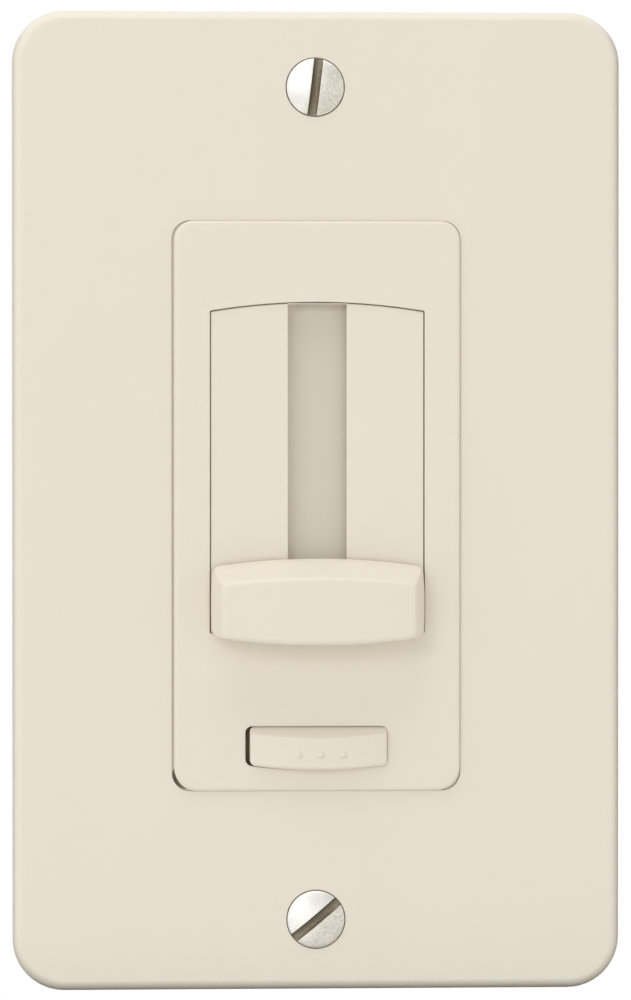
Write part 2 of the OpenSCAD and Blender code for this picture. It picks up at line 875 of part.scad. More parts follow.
wallplate();
wallplate_screws();
bezel();
track_panel();
track_floor();
slide_knob();
slide_carrier();
push_button();
yoke();
box_screws();
screw_retainers();
ground_screw();
insulating_sheet();
rear_housing();
housing_screws();
circuit_board();
pot_frame();
pot_resistor_board();
pot_tracks();
pot_wiper();
pot_wiper_contacts();
switch_case();
switch_cover();
switch_plunger();
switch_spring();
switch_bridge_contact();
switch_terminals();
triac_body();
triac_tab();
triac_leads();
triac_insulator();
triac_screw();
choke_core();
choke_winding();
film_capacitors();
resistors();
diac();
component_leads();
solder_joints();
terminal_straps();
terminal_clamps();
terminal_screws();
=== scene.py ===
"""Looks of a slide dimmer, built around its CAD frame.

The wall is the plane y = 0, the front faces -Y and Z is up. Lengths in this file are in millimetres and
become metres where vertices are made. An outline is a list of (x, z) points, and a profile is a list of
(inset, y) steps.
"""
import math

import bmesh
import bpy
from mathutils import Matrix, Vector


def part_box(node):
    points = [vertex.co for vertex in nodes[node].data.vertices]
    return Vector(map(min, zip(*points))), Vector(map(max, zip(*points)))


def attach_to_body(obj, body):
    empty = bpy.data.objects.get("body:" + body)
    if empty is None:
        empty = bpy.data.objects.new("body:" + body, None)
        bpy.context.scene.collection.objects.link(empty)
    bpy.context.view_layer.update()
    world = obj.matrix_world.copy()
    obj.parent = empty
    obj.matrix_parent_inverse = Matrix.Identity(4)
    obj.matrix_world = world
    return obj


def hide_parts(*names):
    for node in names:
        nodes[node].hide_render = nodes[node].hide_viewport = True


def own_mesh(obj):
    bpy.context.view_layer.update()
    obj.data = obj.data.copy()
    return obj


MM = 0.001
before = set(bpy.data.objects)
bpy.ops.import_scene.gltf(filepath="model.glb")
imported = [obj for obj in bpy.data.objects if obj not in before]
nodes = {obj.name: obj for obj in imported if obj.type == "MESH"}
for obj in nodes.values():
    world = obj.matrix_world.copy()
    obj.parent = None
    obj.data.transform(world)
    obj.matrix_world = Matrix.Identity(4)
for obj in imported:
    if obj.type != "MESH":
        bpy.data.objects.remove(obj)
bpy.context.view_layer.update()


def box_mm(node):
    """The low and high corner of a CAD node at rest."""
    low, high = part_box(node)
    return low / MM, high / MM


# ---- Materials ----


class Material:
    """A Principled material whose colour, roughness and bump come from nodes in object coordinates."""

    def __init__(self, name, **sockets):
        self.material = bpy.data.materials.new(name)
        self.material.use_nodes = True
        self.tree = self.material.node_tree
        self.shader = self.tree.nodes["Principled BSDF"]
        self.place = self.tree.nodes.new("ShaderNodeTexCoord").outputs["Object"]
        for socket, value in sockets.items():
            self.shader.inputs[socket.replace("_", " ")].default_value = value

    def node(self, kind, **values):
        made = self.tree.nodes.new(kind)
        for key, value in values.items():
            if key in made.inputs:
                made.inputs[key].default_value = value
            else:
                setattr(made, key, value)
        return made

    def link(self, output, socket):
        self.tree.links.new(output, socket)

    def stretched(self, scale):
        """Object coordinates, scaled by a different amount along each axis."""
        mapping = self.node("ShaderNodeMapping", Scale=scale)
        self.link(self.place, mapping.inputs["Vector"])
        return mapping.outputs["Vector"]

    def noise(self, per_mm, detail=3.0, roughness=0.55, place=None):
        """Noise with that many cells in a millimetre."""
        made = self.node("ShaderNodeTexNoise", Scale=per_mm / MM, Detail=detail, Roughness=roughness)
        self.link(place or self.place, made.inputs["Vector"])
        return made.outputs["Fac"]

    def cells(self, per_mm):
        """Cells of random colours, that many in a millimetre."""
        made = self.node("ShaderNodeTexVoronoi", Scale=per_mm / MM)
        self.link(self.place, made.inputs["Vector"])
        return made.outputs["Color"]

    def mapped(self, value, low, high, to_low, to_high):
        """The value with the range low to high stretched to another range."""
        made = self.node("ShaderNodeMapRange")
        for index, number in enumerate((low, high, to_low, to_high), start=1):
            made.inputs[index].default_value = number
        self.link(value, made.inputs[0])
        return made.outputs[0]

    def mixed(self, factor, first, second):
        """Colour between first and second, each a colour or another node's output."""
        made = self.node("ShaderNodeMix", data_type="RGBA")
        self.link(factor, made.inputs[0])
        for index, colour in ((6, first), (7, second)):
            if isinstance(colour, tuple):
                made.inputs[index].default_value = (*colour, 1)
            else:
                self.link(colour, made.inputs[index])
        return made.outputs[2]

    def colour(self, value):
        self.link(value, self.shader.inputs["Base Color"])

    def roughness(self, value):
        self.link(value, self.shader.inputs["Roughness"])

    def bump(self, *heights):
        """Bumps from (height, depth in mm) pairs, one on top of the other."""
        normal = None
        for height, depth in heights:
            made = self.node("ShaderNodeBump", Strength=1.0, Distance=depth * MM)
            self.link(height, made.inputs["Height"])
            if normal:
                self.link(normal, made.inputs["Normal"])
            normal = made.outputs["Normal"]
        self.link(normal, self.shader.inputs["Normal"])


def shade(colour, factor):
    """The colour made darker, or lighter with a factor over 1."""
    return tuple(min(1, c * factor) for c in colour)


def plastic(name, colour, rough=0.4, grain=0.004, variation=0.02, speckle=0.0, painted_light_edge=None, **sockets):
    """Moulded plastic: faint flow marks, an even fine grain and handling marks in its gloss.

    painted_light_edge is a pair of places along X in mm: at the first the colour is painted pale, as painted
    light that lifts a wall's shade, and it fades to the plain colour at the second.
    """
    made = Material(name, **sockets)
    flow = made.noise(0.05, 4, place=made.stretched((1, 1, 0.35)))
    tint = made.mapped(flow, 0.3, 0.7, 0, 1)
    base = made.mixed(tint, shade(colour, 1 - variation), shade(colour, 1 + variation))
    if speckle:
        specks = made.mapped(made.noise(2.2, 2), 0.62, 0.74, 0, speckle)
        base = made.mixed(specks, base, shade(colour, 0.8))
    # painted light: the colour is painted paler towards one edge, to lift the shade a wall casts there
    if painted_light_edge:
        axes = made.node("ShaderNodeSeparateXYZ")
        made.link(made.place, axes.inputs[0])
        pale = made.mapped(axes.outputs["X"], painted_light_edge[0] * MM, painted_light_edge[1] * MM, 1, 0)
        base = made.mixed(pale, base, shade(colour, 1.32))
    made.colour(base)
    made.roughness(made.mapped(made.noise(0.6, 5, 0.65), 0.3, 0.7, rough - 0.05, rough + 0.06))
    made.bump((made.noise(7, 2), grain), (made.noise(0.22, 2), grain * 1.5))
    return made.material


def metal(name, colour, rough=0.3, spangle=0.0, brushed=None, pits=0.003, stain_and_painted_light=None, metallic=1.0,
          painted_light_side=None, **sockets):
    """Plated or bare metal, with optional crystals in the plating, drawn lines, and stains or painted light
    and shade.

    painted_light_side is a place x, z in mm, a direction in degrees and two distances along it; the
    stain_and_painted_light colour sets in between the two, mottled, as painted light or shade that grows
    towards that side.
    """
    made = Material(name, Metallic=metallic, **sockets)
    tint = made.mapped(made.noise(0.35, 5, 0.6), 0.3, 0.7, 0, 1)
    base = made.mixed(tint, shade(colour, 0.86), shade(colour, 1.08))
    if spangle:
        crystal = made.mapped(made.cells(spangle), 0, 1, 0, 0.5)
        base = made.mixed(crystal, base, shade(colour, 0.7))
    if stain_and_painted_light:
        # painted light and shade: with a side given, the colour grows towards that side, mottled by noise;
        # without one it falls in random stains
        if painted_light_side:
            x, z, direction, start, end = painted_light_side
            along = Vector((math.cos(math.radians(direction)), 0, math.sin(math.radians(direction))))
            across = made.node("ShaderNodeVectorMath", operation="DOT_PRODUCT")
            across.inputs[1].default_value = along
            made.link(made.place, across.inputs[0])
            middle = along.x * x + along.z * z
            side = made.mapped(across.outputs["Value"], (middle + start) * MM, (middle + end) * MM,
                               0.12, 1.0)
            grain = made.mapped(made.noise(3.2, 5, 0.7), 0.36, 0.62, 0.35, 1.0)
            spots = made.node("ShaderNodeMath", operation="MULTIPLY")
            made.link(side, spots.inputs[0])
            made.link(grain, spots.inputs[1])
            spots = spots.outputs[0]
        else:
            spots = made.mapped(made.noise(0.9, 6, 0.7), 0.5, 0.68, 0, 0.85)
        base = made.mixed(spots, base, stain_and_painted_light)
    made.colour(base)
    made.roughness(made.mapped(made.noise(1.1, 6, 0.7), 0.25, 0.75, rough - 0.08, rough + 0.12))
    lines = made.noise(3, 3, place=made.stretched(brushed)) if brushed else made.noise(0.5, 3)
    made.bump((made.noise(5, 3), pits), (lines, pits))
    return made.material


def laminate(name, colour, weave, rough=0.45):
    """Board or paper with fibres running two ways."""
    made = Material(name)
    fibres = made.noise(weave, 4, place=made.stretched((1, 1, 0.08)))
    across = made.noise(weave, 4, place=made.stretched((0.08, 1, 1)))
    base = made.mixed(made.mapped(fibres, 0.35, 0.65, 0, 1), shade(colour, 0.85), shade(colour, 1.12))
    made.colour(made.mixed(made.mapped(across, 0.4, 0.7, 0, 0.5), base, shade(colour, 0.8)))
    made.roughness(made.mapped(made.noise(0.8, 4), 0.3, 0.7, rough - 0.06, rough + 0.08))
    made.bump((fibres, 0.01), (across, 0.01))
    return made.material


IVORY = (0.762, 0.707, 0.6)
ivory_plate = plastic("ivory_plate", IVORY, rough=0.42, grain=0.0035, variation=0.008)
ivory_parts = plastic("ivory_parts", IVORY, rough=0.4, grain=0.003, variation=0.008)
# painted shade: the groove's floor is a darker copy of the ivory, standing in for the shade in the groove,
# and painted light makes it paler along its left edge
ivory_floor_painted_shade = plastic("ivory_floor_painted_shade", shade(IVORY, 0.84), rough=0.55, grain=0.004, variation=0.012,
                      painted_light_edge=(-3.4, -2.2))
black_plastic = plastic("black_plastic", (0.018, 0.018, 0.02), rough=0.45, grain=0.012, variation=0.15)
# painted shade: dark brown for the flange behind the button, so the gap beside the button reads dark
painted_shade_brown = plastic("painted_shade_brown", (0.19, 0.15, 0.1), rough=0.7, variation=0.1)
switch_black = plastic("switch_black", (0.02, 0.02, 0.022), rough=0.38, variation=0.1)
switch_cream = plastic("switch_cream", (0.68, 0.62, 0.5), rough=0.4)
white_nylon = plastic("white_nylon", (0.82, 0.8, 0.74), rough=0.33)
epoxy = plastic("epoxy_body", (0.022, 0.022, 0.026), rough=0.55, grain=0.02, variation=0.2)
capacitor_red = plastic("capacitor_red", (0.42, 0.07, 0.035), rough=0.22, grain=0.006, variation=0.08)
resistor_tan = plastic("resistor_tan", (0.58, 0.44, 0.26), rough=0.35, variation=0.06, speckle=0.3)
diac_blue = plastic("diac_blue", (0.035, 0.1, 0.28), rough=0.2, variation=0.08)
red_fibre = laminate("red_fibre", (0.28, 0.05, 0.03), weave=2.0, rough=0.6)
fish_paper = laminate("fish_paper", (0.3, 0.33, 0.3), weave=1.2, rough=0.65)
board_brown = laminate("board_brown", (0.42, 0.23, 0.07), weave=1.6, rough=0.4)
phenolic = laminate("phenolic", (0.16, 0.06, 0.02), weave=2.0, rough=0.45)
mica = laminate("mica", (0.55, 0.52, 0.45), weave=0.8, rough=0.25)
carbon = plastic("carbon_track", (0.012, 0.012, 0.013), rough=0.3, grain=0.01, variation=0.3)
ferrite = plastic("ferrite_powder", (0.18, 0.24, 0.09), rough=0.42, grain=0.02, variation=0.12, speckle=0.25)

# each plate screw has a place x, z, a little off the plate's middle line, and the angle of its slot
screw_low, screw_high = box_mm("wallplate_screws")
CAD_HEAD_R = 3.45
PLATE_SCREWS = {"top": (-0.22, screw_high.z - CAD_HEAD_R, 83),
                "bottom": (-0.14, screw_low.z + CAD_HEAD_R + 0.37, 40)}
nickel, nickel_slot = {}, {}
for end, (x, z, turn) in PLATE_SCREWS.items():
    # painted shade: each head's beige colour deepens towards its lower right, where less light falls, mottled
    # by noise
    nickel[end] = metal("nickel_plate_" + end, (0.96, 0.94, 0.89), rough=0.4, pits=0.006,
                        stain_and_painted_light=(0.64, 0.59, 0.48), metallic=0.45, painted_light_side=(x + 0.1, z, -30, -0.7, 1.1))
    # painted shade and painted light: a dark brown slot, painted shade of its recess, painted lighter towards
    # one wall
    nickel_slot[end] = metal("nickel_slot_" + end, (0.19, 0.155, 0.1), rough=0.6, pits=0.012,
                             stain_and_painted_light=(0.53, 0.475, 0.37), metallic=0.6,
                             painted_light_side=(x, z, turn - 90, -0.35, 0.75))
slot_shade = metal("slot_shade", (0.27, 0.225, 0.155), rough=0.6, pits=0.012, stain_and_painted_light=(0.12, 0.1, 0.065))
zinc = metal("zinc_plate", (0.58, 0.6, 0.61), rough=0.36, spangle=0.35, brushed=(1, 1, 0.05))
zinc_screw = metal("zinc_screw", (0.62, 0.63, 0.62), rough=0.28)
green_screw = metal("green_screw", (0.05, 0.26, 0.09), rough=0.34)
brass = metal("brass", (0.72, 0.48, 0.17), rough=0.28, brushed=(0.1, 1, 1))
tinned = metal("tinned", (0.6, 0.61, 0.6), rough=0.35, spangle=0.8)
spring_steel = metal("spring_steel", (0.5, 0.5, 0.5), rough=0.25)
solder = metal("solder", (0.55, 0.55, 0.54), rough=0.25, pits=0.01)
copper = metal("enamelled_copper", (0.62, 0.23, 0.08), rough=0.2, Coat_Weight=0.8, Coat_Roughness=0.1)

# ---- Outlines ----


def arc(cx, cz, r, start, end, steps):
    """Points along an arc between two angles in degrees."""
    angles = [math.radians(start + (end - start) * i / steps) for i in range(steps + 1)]
    return [(cx + r * math.cos(a), cz + r * math.sin(a)) for a in angles]


def circle(cx, cz, r, steps=64):
    return arc(cx, cz, r, 0, 360, steps)[:-1]


CORNER_STEPS = 8


def rounded(w, h, r, cx=0.0, cz=0.0, steps=CORNER_STEPS, low=None):
    """A rounded rectangle, whose two bottom corners can have a radius of their own."""
    outline = []
    for sx, sz, start in ((1, 1, 0), (-1, 1, 90), (-1, -1, 180), (1, -1, 270)):
        corner = low if low and sz < 0 else r
        middle = cx + sx * (w / 2 - corner), cz + sz * (h / 2 - corner)
        outline += arc(*middle, corner, start, start + 90, steps)
    return outline


def columns(half, r, corner=8, middle=24):
    """Places across a width, close together in the rounded corners."""
    ends = [half - r * (1 - math.cos(math.radians(90 * i / corner))) for i in range(corner)]
    inner = half - r
    return [-x for x in ends] + [inner * (2 * i / middle - 1) for i in range(middle + 1)] + ends[::-1]


def corner_cut(distance, r):
    """How far a corner of radius r has drawn the end in, at a distance from the side."""
    return 0.0 if distance >= r else r - math.sqrt(max(0.0, r * r - (r - distance) ** 2))


class Arched:
    """A shape between z0 and z1 whose bottom and top bulge by sag0 and sag1, with rounded corners."""

    def __init__(self, w, z0, z1, sag0, sag1, r):
        self.half, self.z0, self.z1, self.sag0, self.sag1, self.r = w / 2, z0, z1, sag0, sag1, r

    def low(self, x):
        return self.z0 + self.sag0 * (x / self.half) ** 2 + corner_cut(self.half - abs(x), self.r)

    def high(self, x):
        return self.z1 - self.sag1 * (x / self.half) ** 2 - corner_cut(self.half - abs(x), self.r)

    def outline(self):
        xs = columns(self.half, self.r)
        return [(x, self.low(x)) for x in xs] + [(x, self.high(x)) for x in reversed(xs)]


def inset(outline, distance):
    """The outline drawn in by a distance, each point along the bisector of its two sides."""
    moved = []
    for i, point in enumerate(outline):
        sides = []
        for a, b in ((outline[i - 1], point), (point, outline[(i + 1) % len(outline)])):
            dx, dz = b[0] - a[0], b[1] - a[1]
            length = math.hypot(dx, dz) or 1
            sides.append((-dz / length, dx / length))
        (ax, az), (bx, bz) = sides
        spread = 1 + ax * bx + az * bz
        moved.append((point[0] + (ax + bx) / spread * distance, point[1] + (az + bz) / spread * distance))
    return moved


def round_in(i0, y0, i1, y1, steps=6):
    """Quarter round that starts along Y and ends across it."""
    angles = [math.pi / 2 * k / steps for k in range(steps + 1)]
    return [(i0 + (i1 - i0) * (1 - math.cos(a)), y0 + (y1 - y0) * math.sin(a)) for a in angles]


def round_out(i0, y0, i1, y1, steps=6):
    """Quarter round that starts across Y and ends along it."""
    return round_in(i1, y1, i0, y0, steps)[::-1]


# ---- Solids ----


class Solid:
    """A mesh made of rings in planes of constant y, joined by walls and closed by flat faces."""

    def __init__(self):
        self.mesh = bmesh.new()

    def point(self, x, y, z):
        return self.mesh.verts.new((x * MM, y * MM, z * MM))

    def ring(self, outline, y):
        return [self.point(x, y, z) for x, z in outline]

    def wall(self, a, b):
        for i in range(len(a)):
            j = (i + 1) % len(a)
            self.mesh.faces.new((a[i], a[j], b[j], b[i]))

    def stack(self, outline, profile):
        """Rings of the outline at each (inset, y), joined by walls. Returns the first and last ring."""
        rings = [self.ring(inset(outline, step) if step else outline, y) for step, y in profile]
        for a, b in zip(rings, rings[1:]):
            self.wall(a, b)
        return rings[0], rings[-1]

    def fill(self, *loops):
        """A flat face inside the first loop, with the other loops as holes."""
        edges = []
        for loop in loops:
            for i, a in enumerate(loop):
                b = loop[(i + 1) % len(loop)]
                edges.append(self.mesh.edges.get((a, b)) or self.mesh.edges.new((a, b)))
        bmesh.ops.triangle_fill(self.mesh, use_beauty=True, edges=edges)

    def shell(self, outline, profile):
        """A closed solid from a profile."""
        first, last = self.stack(outline, profile)
        self.fill(first)
        self.fill(last)

    def block(self, x, y, z, soft=0.12):
        """A block with softened edges towards the front and back."""
        outline = rounded(x[1] - x[0], z[1] - z[0], soft, (x[0] + x[1]) / 2, (z[0] + z[1]) / 2, 2)
        self.shell(outline, [(soft * 0.7, y[0]), (0, y[0] + soft), (0, y[1] - soft), (soft * 0.7, y[1])])

    def bar(self, profile, x0, x1):
        """A bar along X from (y, z) points."""
        near, far = [[self.point(x, y, z) for y, z in profile] for x in (x0, x1)]
        self.wall(near, far)
        self.fill(near)
        self.fill(far)

    def lathe(self, profile):
        """A turned solid about the Y axis from (radius, y) steps, closed at both ends."""
        rings = [self.ring(circle(0, 0, r), y) for r, y in profile]
        for a, b in zip(rings, rings[1:]):
            self.wall(a, b)
        self.fill(rings[0])
        self.fill(rings[-1])

    def thread(self, r, y0, y1, pitch=0.794, depth=0.3, steps=28, rows=7):
        """A threaded rod along Y, with a helical ridge and a pointed run-out at y1."""
        run_out = 0.9
        count = round((y1 - y0) / pitch * rows)
        rings = []
        for k in range(count + 1):
            y = y0 + (y1 - y0) * k / count
            tip = min(1.0, (y1 - y) / run_out)
            ring = []
            for i in range(steps):
                phase = ((y - y0) / pitch - i / steps) % 1
                radius = r - depth * (1 - abs(2 * phase - 1)) * min(1.0, (y - y0) / pitch)
                radius = min(radius, r - (1 - tip) * run_out)
                a = 2 * math.pi * i / steps
                ring.append(self.point(radius * math.cos(a), y, radius * math.sin(a)))
            rings.append(ring)
        for a, b in zip(rings, rings[1:]):
            self.wall(a, b)
        self.fill(rings[0])
        self.fill(rings[-1])

    def relief(self, shape, height, middle=96, corner=14, rows=72, draw_in=(0.0, 0.0)):
        """A curved face over an Arched shape, height(x, z) in front of the wall. Returns its border.

        draw_in narrows the bottom and the top end by that much on each side.
        """
        crowding = 0.35
        xs = columns(shape.half, shape.r, corner, middle)
        spans = [(1 - math.cos(math.pi * k / rows)) / 2 * crowding + k / rows * (1 - crowding)
                 for k in range(rows + 1)]
        mid = (shape.z0 + shape.z1) / 2
        grid = []
        for x in xs:
            low, high = shape.low(x), shape.high(x)
            line = []
            for t in spans:
                z = low + (high - low) * t
                pull = 1 - draw_in[z > mid] / shape.half * ((z - mid) / (shape.z1 - mid)) ** 2
                line.append(self.point(x * pull, -height(x, z), z))
            grid.append(line)
        for a, b in zip(grid, grid[1:]):
            for k in range(rows):
                self.mesh.faces.new((a[k], b[k], b[k + 1], a[k + 1]))
        bottom, top = [line[0] for line in grid], [line[-1] for line in reversed(grid)]
        return bottom + grid[-1][1:-1] + top + grid[0][-2:0:-1]

    def dropped(self, ring, y, scale=(1, 1), mid=0.0):
        """A copy of the ring in the plane y, scaled along X and Z about a height and joined by a wall."""
        mid *= MM
        made = [self.mesh.verts.new((v.co.x * scale[0], y * MM, mid + (v.co.z - mid) * scale[1]))
                for v in ring]
        self.wall(ring, made)
        return made

    def move(self, matrix):
        bmesh.ops.transform(self.mesh, matrix=matrix, verts=self.mesh.verts)


def make(name, solid, material, sharp=38):
    """The solid as an object, smooth except at edges sharper than an angle."""
    bmesh.ops.recalc_face_normals(solid.mesh, faces=solid.mesh.faces)
    mesh = bpy.data.meshes.new(name)
    solid.mesh.to_mesh(mesh)
    solid.mesh.free()
    mesh.polygons.foreach_set("use_smooth", [True] * len(mesh.polygons))
    mesh.set_sharp_from_angle(angle=math.radians(sharp))
    mesh.materials.append(material)
    made = bpy.data.objects.new(name, mesh)
    bpy.context.scene.collection.objects.link(made)
    return made


def weigh_normals(item):
    """Keeps large faces flat in the shading next to softened edges."""
    modifier = item.modifiers.new("normals", "WEIGHTED_NORMAL")
    modifier.keep_sharp = True
    modifier.weight = 100


def soften(item, width, segments=2, angle=35):
    """Rounds the edges sharper than an angle with a narrow bevel."""
    modifier = item.modifiers.new("edges", "BEVEL")
    modifier.width = width * MM
    modifier.segments = segments
    modifier.limit_method = "ANGLE"
    modifier.angle_limit = math.radians(angle)
    modifier.use_clamp_overlap = True
    modifier.miter_outer = "MITER_ARC"


def attach(item, body, slot, *replaced):
    """Puts a piece on a body in the place of CAD nodes. The slot is not used."""
    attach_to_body(item, body)
    if replaced:
        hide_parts(*replaced)
    return item


def cut_away(item, cutter):
    """Cuts one mesh out of another for good; the cut faces keep the cutter's material."""
    modifier = item.modifiers.new("cut", "BOOLEAN")
    modifier.operation = "DIFFERENCE"
    modifier.solver = "EXACT"
    modifier.material_mode = "TRANSFER"
    modifier.object = cutter
    bpy.context.view_layer.update()
    mesh = bpy.data.meshes.new_from_object(item.evaluated_get(bpy.context.evaluated_depsgraph_get()))
    item.modifiers.remove(modifier)
    old = item.data
    item.data = mesh
    bpy.data.meshes.remove(old)
    bpy.data.objects.remove(cutter)


# ---- Wall plate ----

plate_low, plate_high = box_mm("wallplate")
plate_w = plate_high.x - plate_low.x
plate_h = plate_high.z - plate_low.z
plate_mid = (plate_high.z + plate_low.z) / 2
plate_front = plate_low.y
PLATE_SKIN, PLATE_WALL = 2, 1.8
plate_inside = plate_front + PLATE_SKIN
bezel_front = box_mm("bezel")[0].y
# the bezel doesn't sit in the middle of the opening: the gap is widest on the left
BEZEL_W, BEZEL_H, BEZEL_MID = 33.16, 66.02, -0.07
BEZEL_CORNER, BEZEL_LOW_CORNER, OPENING_CORNER = 2.2, 2.65, 2.1
GAP_LEFT, GAP_RIGHT, GAP_TOP, GAP_BOTTOM = 0.27, 0.05, 0.02, 0.015
opening = rounded(BEZEL_W + GAP_LEFT + GAP_RIGHT, BEZEL_H + GAP_TOP + GAP_BOTTOM, OPENING_CORNER,
                  cx=(GAP_RIGHT - GAP_LEFT) / 2, cz=BEZEL_MID + (GAP_TOP - GAP_BOTTOM) / 2)
# how far the rounded edge of the face reaches in, and how far back
EDGE_W, EDGE_DEPTH = 1.25, 2.1
# soft edge of the opening, thickness of the rim behind it, and where that rim and the screw posts end
OPENING_LIP, OPENING_RIM, RIM_END, POST_END = 0.05, 1.4, -2.7, -1.6
# bore for a plate screw, the countersink's extra radius, and the wall of the post round the bore
BORE_R, COUNTERSINK, POST_WALL = 1.8, 1.64, 1.2
PLATE_CORNER = 6

plate = Solid()
plate_outline = rounded(plate_w, plate_h, PLATE_CORNER, cz=plate_mid, steps=12)
back, face = plate.stack(plate_outline, [
    (PLATE_WALL, plate_inside), (PLATE_WALL, -0.15), (PLATE_WALL - 0.15, 0), (0.2, 0), (0, -0.2),
    *round_in(0, plate_front + EDGE_DEPTH, EDGE_W, plate_front, 10)])
front_hole, back_hole = plate.stack(opening, [
    *round_out(-OPENING_LIP, plate_front, 0, plate_front + OPENING_LIP, 4),
    (0, RIM_END - 0.1), (-0.1, RIM_END), (0.1 - OPENING_RIM, RIM_END), (-OPENING_RIM, RIM_END - 0.1),
    (-OPENING_RIM, plate_inside)])
screw_fronts, screw_backs = [], []
for x, z, turn in PLATE_SCREWS.values():
    sink_front, post_back = plate.stack(circle(x, z, BORE_R, 96), [
        *round_out(-COUNTERSINK - 0.04, plate_front, -COUNTERSINK, plate_front + 0.04, 3),
        (-COUNTERSINK, plate_front + 0.4), (0, plate_inside),
        (0, POST_END), (0.1 - POST_WALL, POST_END), (-POST_WALL, POST_END - 0.1), (-POST_WALL, plate_inside)])
    screw_fronts.append(sink_front)
    screw_backs.append(post_back)
plate.fill(face, front_hole, *screw_fronts)
# ribs in the back that cross like a hash sign: their two sides and their ends, across and up
RIB_X, RIB_Z, RIB_END_X, RIB_END_Z = (23.4, 24.6), (36.4, 37.6), 33, 50
RIB_BACK = -2.5
corner = [(RIB_END_X, RIB_Z[0]), (RIB_END_X, RIB_Z[1]), (RIB_X[1], RIB_Z[1]), (RIB_X[1], RIB_END_Z),
          (RIB_X[0], RIB_END_Z), (RIB_X[0], RIB_Z[1])]
upper = corner + [(-x, z) for x, z in reversed(corner)]
hash_outline = [(RIB_X[1], RIB_Z[0])] + upper + [(-RIB_X[1], RIB_Z[0])]
hash_outline += [(x, -z) for x, z in reversed(hash_outline)]
cell = [(RIB_X[0], RIB_Z[0]), (-RIB_X[0], RIB_Z[0]), (-RIB_X[0], -RIB_Z[0]), (RIB_X[0], -RIB_Z[0])]
hash_base, hash_top = plate.stack(hash_outline, [(0, plate_inside), (0.08, RIB_BACK - 0.1), (0.16, RIB_BACK)])
cell_base, cell_top = plate.stack(cell, [(0, plate_inside), (-0.08, RIB_BACK - 0.1), (-0.16, RIB_BACK)])
plate.fill(back, hash_base, *screw_backs)
plate.fill(cell_base, back_hole)
plate.fill(hash_top, cell_top)
wall_plate = make("wall_plate", plate, ivory_plate)
weigh_normals(wall_plate)
attach(wall_plate, "device", "ivory_plastic", "wallplate")

# ---- Bezel ----

BEZEL_WALL, WINDOW_WALL = 1.2, 0.9
bezel_inside = bezel_front + BEZEL_WALL
yoke_front = box_mm("yoke")[0].y
WINDOW_W, SAG_BOTTOM, SAG_TOP = 24.9, 1.35, 1.04
window = Arched(WINDOW_W, -16.1, 23.56, SAG_BOTTOM, SAG_TOP, 0.15)
button_low, button_high = box_mm("push_button")
button_mid = -28.1
BUTTON_SAG = 0.5
button_hole = Arched(16.47, button_mid - 2.53, button_mid + 2.52, BUTTON_SAG, 0.0, 0.75)
HOLE_SHIFT = -0.115

bezel = Solid()
bezel_outline = rounded(BEZEL_W, BEZEL_H, BEZEL_CORNER, cz=BEZEL_MID, low=BEZEL_LOW_CORNER)
# the flange behind the plate's opening: how much wider and higher it is, and its front
FLANGE_EXTRA, FLANGE_Y = 5, -2.5
flange_outline = rounded(BEZEL_W + FLANGE_EXTRA, BEZEL_H + FLANGE_EXTRA, 2, cz=BEZEL_MID)
LEDGE_Y = plate_front + 0.32
root, ledge = bezel.stack(opening, [(0.02, FLANGE_Y), (0.02, LEDGE_Y)])
foot, face = bezel.stack(bezel_outline, [(0, LEDGE_Y), *round_in(0, bezel_front + 0.35, 0.5, bezel_front, 7)])
bezel.wall(ledge, foot)
# the ledge round the bezel sinks at the lower left corner, where the gap is widest
DIP_DEPTH, DIP_STEPS = 1.7, 6
lower_left = 2 * (CORNER_STEPS + 1)
for k in range(1, DIP_STEPS):
    for ring in (ledge, foot):
        ring[lower_left + k].co.y += DIP_DEPTH * math.sin(math.pi * k / DIP_STEPS) * MM
flange_back, flange_front = bezel.stack(flange_outline, [
    (0, yoke_front), (0, FLANGE_Y + 0.1), (0.1, FLANGE_Y)])
bezel.fill(flange_front, root)
hollow = rounded(BEZEL_W - 2 * BEZEL_WALL, BEZEL_H - 2 * BEZEL_WALL, 1, cz=BEZEL_MID)
rim, inside = bezel.stack(hollow, [(0, yoke_front), (0, bezel_inside)])
bezel.fill(flange_back, rim)
window_front, window_back = bezel.stack(window.outline(), [
    *round_out(-0.1, bezel_front, 0, bezel_front + 0.1, 4), (0, bezel_front + WINDOW_WALL)])
# room behind the window for the flange of the track panel
PLAY = 0.4
panel_low, panel_high = box_mm("track_panel")
pocket = rounded(panel_high.x - panel_low.x + PLAY, panel_high.z - panel_low.z + PLAY, 0.3,
                 cz=(panel_high.z + panel_low.z) / 2, steps=3)
pocket_base, pocket_top = bezel.stack(pocket, [(0, bezel_inside), (0, bezel_front + WINDOW_WALL)])
# collar round the button's hole
collar_back = bezel_inside + 0.2
collar = rounded(18.8, 7.2, 1.4, cz=button_mid)
collar_base, collar_top = bezel.stack(collar, [(0, bezel_inside), (0, collar_back)])
hole_front, hole_back = bezel.stack([(x + HOLE_SHIFT, z) for x, z in button_hole.outline()], [
    *round_out(-0.07, bezel_front, 0, bezel_front + 0.07, 4), (0, collar_back)])
bezel.fill(face, window_front, hole_front)
bezel.fill(inside, pocket_base, collar_base)
bezel.fill(pocket_top, window_back)
bezel.fill(collar_top, hole_back)
# hooks that snap behind the yoke
HOOK_X, HOOK_HALF, HOOK_END = 11.2, 1.6, 1.4
SHANK_Z, BARB_Z = (30.2, 31.4), (30.4, 31.9)
for sx in (-1, 1):
    for sz in (-1, 1):
        x = (sx * HOOK_X - HOOK_HALF, sx * HOOK_X + HOOK_HALF)
        bezel.block(x, (bezel_inside - 0.1, HOOK_END), sorted(sz * z for z in SHANK_Z))
        bezel.block(x, (0.1, HOOK_END), sorted(sz * z for z in BARB_Z))
bezel_frame = make("bezel_frame", bezel, ivory_parts)
weigh_normals(bezel_frame)
attach(bezel_frame, "device", "ivory_moulding", "bezel")

# ---- Track panel ----

